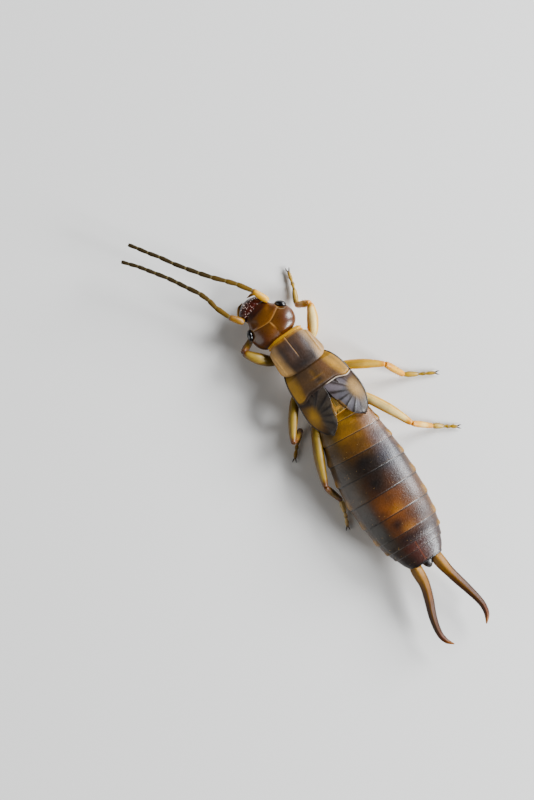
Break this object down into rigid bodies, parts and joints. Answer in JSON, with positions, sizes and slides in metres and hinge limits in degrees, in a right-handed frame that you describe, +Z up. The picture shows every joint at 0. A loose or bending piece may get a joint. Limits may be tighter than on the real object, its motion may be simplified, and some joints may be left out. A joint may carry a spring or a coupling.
{
  "type": "earwig nymph",
  "caption": "Life-size earwig nymph standing on its feet, with slender tail forceps, short wing pads and long antennae both bent to its left",
  "frame": {"origin": "On the floor under the middle of the whole animal, midway between its outermost points", "axes": "+Z up, +Y towards the tail, +X towards the animal's left"},
  "size_m": [0.0074, 0.0192, 0.0017],
  "materials": {
    "head_shell": "glossy",
    "eye": "glossy",
    "mouthparts": "glossy",
    "palp": "satin",
    "antenna_base": "satin",
    "antenna": "satin",
    "neck": "satin",
    "thorax": "glossy",
    "wing_pad": "glossy",
    "abdomen": "glossy",
    "forceps": "glossy",
    "leg": "satin"
  },
  "bodies": {
    "root": {"head": "head_shell", "eye_left": "eye", "eye_right": "eye", "labrum": "mouthparts", "mandible_left": "mouthparts", "palp_left": "palp", "mandible_right": "mouthparts", "palp_right": "palp", "antenna_base_left": "antenna_base", "antenna_inner_left": "antenna", "antenna_outer_left": "antenna", "antenna_base_right": "antenna_base", "antenna_inner_right": "antenna", "antenna_outer_right": "antenna", "neck": "neck", "prothorax": "thorax", "mesothorax": "thorax", "metathorax": "thorax", "wing_pad_fore_left": "wing_pad", "wing_pad_hind_left": "wing_pad", "wing_pad_fore_right": "wing_pad", "wing_pad_hind_right": "wing_pad", "abdomen_1": "abdomen", "abdomen_2": "abdomen", "abdomen_3": "abdomen", "abdomen_4": "abdomen", "abdomen_5": "abdomen", "abdomen_6": "abdomen", "abdomen_7": "abdomen", "abdomen_8": "abdomen", "abdomen_9": "abdomen", "abdomen_10": "abdomen", "pygidium": "abdomen", "forceps_left": "forceps", "forceps_right": "forceps", "coxa_front_left": "leg", "femur_front_left": "leg", "tibia_front_left": "leg", "tarsus_front_left": "leg", "coxa_front_right": "leg", "femur_front_right": "leg", "tibia_front_right": "leg", "tarsus_front_right": "leg", "coxa_middle_left": "leg", "femur_middle_left": "leg", "tibia_middle_left": "leg", "tarsus_middle_left": "leg", "coxa_middle_right": "leg", "femur_middle_right": "leg", "tibia_middle_right": "leg", "tarsus_middle_right": "leg", "coxa_hind_left": "leg", "femur_hind_left": "leg", "tibia_hind_left": "leg", "tarsus_hind_left": "leg", "coxa_hind_right": "leg", "femur_hind_right": "leg", "tibia_hind_right": "leg", "tarsus_hind_right": "leg"}
  },
  "joints": []
}
